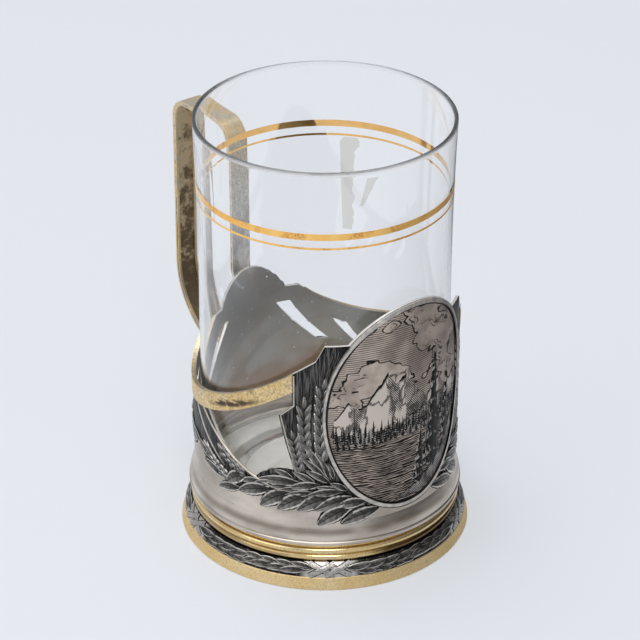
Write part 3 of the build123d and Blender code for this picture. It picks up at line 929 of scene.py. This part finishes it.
firs = []
for row, (level, tallest) in enumerate(((43.2, 5.2), (41.8, 5.6), (40.4, 5.0))):
    reach = oval_half_run(level * mm)
    count = 25 - row
    for step in range(count):
        run = reach * (2 * step / (count - 1) - 1) + 0.5 * mm * math.sin(7.3 * step + row)
        foot = (level + 0.5 * math.sin(0.21 * run / mm + row)) * mm
        tall = tallest * (0.72 + 0.28 * math.sin(2.9 * step + 1.7 * row) ** 2) * mm
        if abs(run) < min(oval_half_run(foot), oval_half_run(foot + tall)) + 0.4 * mm:
            ends = ((run, foot), (run + 0.1 * mm, foot + tall))
            firs.append(lay(fir, *ends, 0.46 * tall, (0.2 + 0.05 * row) * mm))
for run, foot, tip in ((14.6, 33.0, 53.5), (8.6, 27.5, 62.5), (3.6, 24.6, 43.0)):
    ends = ((run * mm, foot * mm), ((run + 0.4) * mm, tip * mm))
    firs.append(lay(fir, *ends, 0.30 * (tip - foot) * mm, 0.40 * mm))
forest = joined(firs, "forest")

ripple = round_strip("ripple", 2, 3)
ripples = []
for row in range(15):
    level = (24.6 + 1.06 * row) * mm
    reach = oval_half_run(level)
    run = -reach + 0.6 * mm * (row % 3)
    step = 0
    while run < reach - 1.5 * mm:
        length = (2.2 + 1.9 * math.sin(1.9 * step + 2.3 * row) ** 2 + 0.10 * (15 - row)) * mm
        end = min(run + length, reach)
        ripples.append(lay(ripple, (run, level), (end, level + 0.06 * mm), 0.22 * mm, 0.09 * mm))
        run = end + (2.2 + 2.4 * math.sin(4.1 * step + row) ** 2) * mm
        step += 1
lake = joined(ripples, "lake")


def cut_firs(name):
    """Firs in niello: bright cuts along the lower edge of every tier, more of them on the lit side."""
    finish, shader, place = new_finish(name)
    across, climb = on_the_map(place)
    side = (across - 0.5) * 2
    tier = climb * (fir_rows / 2)
    rise = tier.maths("FRACT", tier)
    comb = mottle(stretch(place, 2.4, 0.6), 0.9 * mm, 2)
    bright = ease(comb * 1.5 - rise * 0.7 - side * 0.2, 0.66, 0.84) * ease(abs(side), 0.05, 0.2)
    wire(shader, Base_Color=blend(bright, niello, (0.40, 0.37, 0.34, 1)), Roughness=0.45 - bright * 0.1)
    return finish


def rubbed_ripples(name):
    """Ripples whose crests are rubbed bright while black stays in the hollows."""
    finish, shader, place = new_finish(name)
    _, distance, height = round_the_axis(place)
    wear = mottle(place, 1.3 * mm, 3)
    relief = distance - sheet_outside(height) + (wear - 0.5) * (0.22 * mm)
    crest = ease(relief, 0.08 * mm, 0.12 * mm)
    metal = blend(ease(wear, 0.35, 0.65), grey_silver, (0.46, 0.42, 0.39, 1))
    wire(shader, Base_Color=blend(crest, niello, metal), Roughness=0.46 - crest * 0.16)
    wire(shader, Normal=dents(wear, 0.03 * mm))
    return finish


forest.data.materials.append(cut_firs("cut_firs"))
lake.data.materials.append(rubbed_ripples("ripple_metal"))
for piece in (far_hills, near_hills, near_bank, forest, lake):
    roll_onto_wall(piece)
    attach(piece, "holder")
for pattern in (laurel_leaf, ribbon_strip, ripple, grain, awn, garland_leaf, fir):
    bpy.data.objects.remove(pattern)

# Rim straps: two saddle-shaped strips soldered round the pierced sides to stiffen the edge.
# They are gilded outside and left bare inside; the left one has a dark stain near its middle.
stain_reach = 17.0
stain_level = 48.7 * mm
stain_lean = 0.24 * mm
stain_half_height = 1.25 * mm


def strap_finish(name, stain_angle):
    """Gilding outside and bare metal inside, with a stain at an angle."""
    finish, shader, place = new_finish(name)
    colour, _, speckle = gilded(place, wear=0.06, tarnish=0.10)
    colour = blend(ease(mottle(place, 0.7 * mm, 4), 0.40, 0.66) * 0.65, colour, old_gold)
    angle, distance, height = round_the_axis(place)
    bare = distance < sheet_outside(height) - wall_sheet / 2
    turn = angle - stain_angle
    aside = turn / stain_reach
    above = (height - stain_level - turn * stain_lean) / stain_half_height
    near = 1 - ease(aside * aside + above * above, 0.1, 1.2)
    stain = near * ease(mottle(stretch(place, 0.7, 1.6), 1.9 * mm, 5), 0.34, 0.50)
    colour = blend(stain * 0.92, colour, (0.055, 0.04, 0.045, 1))
    inside, _ = bare_sheet(place, height)
    colour = blend(bare, colour, inside)
    wire(shader, Base_Color=colour, Roughness=0.30 + speckle * 0.12 + stain * 0.2)
    wire(shader, Normal=dents(speckle, 0.02 * mm))
    return finish


dress("rim_strap_left", strap_finish("strap_gilding_left", -81.0))
dress("rim_strap_right", strap_finish("strap_gilding_right", 140.0))

# Handle: a strap pressed into a shallow channel, bent into a loop and soldered to the back panel.
# Outside it is gilded and worn pale; the hollow that the fingers pass through has browned.
loop_middle = 50.0 * mm
loop_half = 6.6 * mm
loop_rounding = 5.65 * mm
loop_top = 95.45 * mm
bend_middle = 40.6 * mm
bend_level = 52.0 * mm
bend_reach = 21.65 * mm


def handle_finish(name):
    """Worn gilding on the outside of the loop, brown in its hollow and bare towards the glass."""
    finish, shader, place = new_finish(name)
    split = place.node("ShaderNodeSeparateXYZ", {0: place})
    outward = split.outlet("Y")
    height = split.outlet("Z")
    beyond = larger(abs(outward - loop_middle) - loop_half, 0)
    above = larger(height - loop_top, 0)
    below = larger(bend_level - height, 0)
    from_bend = outward - bend_middle
    sunk = loop_rounding - (beyond * beyond + above * above) ** 0.5
    sunk_below = bend_reach - (from_bend * from_bend + below * below) ** 0.5
    sunk = sunk.maths("MINIMUM", sunk, sunk_below)
    hollow = ease(sunk, 0.45 * mm, 0.62 * mm) * (1 - ease(sunk, 0.9 * mm, 1.15 * mm))
    colour, _, speckle = gilded(place, wear=0.22, tarnish=0.05)
    patches = mottle(place, 3.2 * mm, 6) * 0.6 + mottle(place, 0.9 * mm, 4) * 0.4
    patches = ease(patches + (66 * mm - height) * 4, 0.38, 0.58)
    brown = blend(patches, (0.72, 0.595, 0.41, 1), (0.22, 0.165, 0.10, 1))
    colour = blend(hollow, colour, brown)
    glass_side = ease(outward, 37.9 * mm, 38.2 * mm)
    scuffed = ease(mottle(stretch(place, 1, 0.35), 0.9 * mm, 5), 0.34, 0.66)
    grey = blend(scuffed, (0.55, 0.53, 0.485, 1), (0.80, 0.775, 0.715, 1))
    grey = blend(ease(height, 74 * mm, 94 * mm) * 0.8, grey, (0.66, 0.57, 0.41, 1))
    browned = ease(mottle(place, 0.6 * mm, 4) + (height - 80 * mm) * 5, 0.50, 0.62)
    grey = blend(browned * 0.6, grey, (0.34, 0.27, 0.165, 1))
    colour = blend(1 - glass_side, colour, grey)
    wire(shader, Base_Color=colour, Roughness=0.32 + speckle * 0.14 + hollow * 0.2)
    wire(shader, Normal=dents(speckle + hollow * mottle(place, 1.2 * mm, 4), 0.04 * mm))
    return finish


dress("handle", handle_finish("handle_gilding"))

# Tea glass: a thin-walled clear glass with a fire-polished rim, loose in the holder.
# Two bands of bright gold, a wide one over a thin one, are fired onto the outside below the rim.
# Two scraps of a torn paper slip are still gummed to the back of it.
glass_middle_radius = 32.2 * mm
strip_foot = 69.2 * mm
strip_top = 96.1 * mm
scrap_foot = 76.6 * mm
scrap_top = 85.0 * mm
paper = (0.61, 0.585, 0.50, 1)


def paper_scraps(place):
    """1 on the paper outside the glass: a strip with one torn side, and a slanting scrap beside it."""
    angle, distance, height = round_the_axis(place)
    torn = (mottle(place, 2.2 * mm, 3) - 0.5) * 5
    square_side = 133.4 + (height - 69.4 * mm) * 63
    clipped_corner = 133.3 - (height - 96.05 * mm) * 1400
    torn_side = 128.4 + torn - ease(height, 91.5 * mm, 94.5 * mm) * 2.7
    strip = (angle < square_side) * (angle < clipped_corner) * (angle > torn_side)
    strip = strip * (height > strip_foot + torn * (0.15 * mm)) * (height < strip_top)
    near_side = 124.9 - (height - 76.5 * mm) * 420
    far_side = 123.0 + torn * 0.4 - (height - 77.0 * mm) * 790
    scrap = (angle < near_side) * (angle > far_side)
    scrap = scrap * (height > scrap_foot) * (height < scrap_top + (121.3 - angle) * (0.2 * mm))
    return (strip + scrap) * (distance > glass_middle_radius)


clear_glass, glass_shader, glass_place = new_finish("clear_glass", metallic=0)
wire(glass_shader, Base_Color=blend(paper_scraps(glass_place), (1, 1, 1, 1), paper))
glass_shader.inputs["Transmission Weight"].default_value = 1
glass_shader.inputs["IOR"].default_value = 1.5
glass_height = glass_place.node("ShaderNodeSeparateXYZ", {0: glass_place}).outlet("Z")
rim_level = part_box("tea_glass")[1].z
wire(glass_shader, Roughness=ease(glass_height, rim_level - 1.6 * mm, rim_level - 0.4 * mm) * 0.5)
shadow_ray = glass_place.node("ShaderNodeLightPath", {}, outlet="Is Shadow Ray")
lamp_light = glass_place.node("ShaderNodeBsdfTransparent", {})
choices = {0: shadow_ray, 1: Value(glass_shader.outputs[0]), 2: lamp_light}
glass_choice = glass_place.node("ShaderNodeMixShader", choices)
glass_tree = clear_glass.node_tree
glass_tree.links.new(glass_choice.socket, glass_tree.nodes["Material Output"].inputs["Surface"])
dress("tea_glass", clear_glass)

glass_flare = 0.0256
film = 0.02 * mm


def gold_band(name, foot, width, radius):
    """A band of gold round the glass, from its foot's level and the glass's radius there."""
    bpy.ops.object.select_all(action="DESELECT")
    spread = radius + glass_flare * width
    middle = (0, 0, foot + width / 2)
    bpy.ops.mesh.primitive_cone_add(
        vertices=160, radius1=radius, radius2=spread, depth=width, end_fill_type="NOTHING", location=middle
    )
    bpy.ops.object.transform_apply()
    band = bpy.context.object
    band.name = name
    bpy.ops.object.modifier_add(type="SOLIDIFY")
    band.modifiers[0].thickness = film
    band.modifiers[0].offset = 1
    bpy.ops.object.modifier_apply(modifier=band.modifiers[0].name)
    bpy.ops.object.shade_smooth_by_angle()
    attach(band, "glass")
    return band


def fired_gold(name):
    """Bright fired gold, a mirror on its glass side, rubbed and browned in specks on its open side."""
    finish, shader, place = new_finish(name)
    tone = ease(mottle(place, 5 * mm, 3), 0.3, 0.7)
    rubbed = ease(mottle(stretch(place, 1, 3), 1.1 * mm, 3), 0.66, 0.74)
    colour = blend(tone, (0.90, 0.49, 0.11, 1), (0.95, 0.58, 0.17, 1))
    inlets = {0: place.node("ShaderNodeNewGeometry", {}, outlet="Normal"), 1: place}
    outward = place.node("ShaderNodeVectorMath", inlets, outlet="Value", operation="DOT_PRODUCT") > 0
    specks = ease(mottle(place, 0.45 * mm, 2), 0.46, 0.58)
    speckled = specks * ease(mottle(place, 5.5 * mm, 2), 0.5, 0.62) * outward
    colour = blend(speckled * 0.75, colour, (0.50, 0.19, 0.03, 1))
    wire(shader, Base_Color=blend(rubbed * 0.4, colour, (0.80, 0.62, 0.36, 1)))
    wire(shader, Metallic=1 - outward * 0.65, Roughness=0.04 + outward * 0.12 + rubbed * 0.2)
    return finish


gold_film = fired_gold("fired_gold")
for band in (
    gold_band("wide_gold_band", 99.05 * mm, 1.8 * mm, 32.915 * mm),
    gold_band("thin_gold_band", 96.44 * mm, 0.6 * mm, 32.84 * mm),
):
    band.data.materials.append(gold_film)
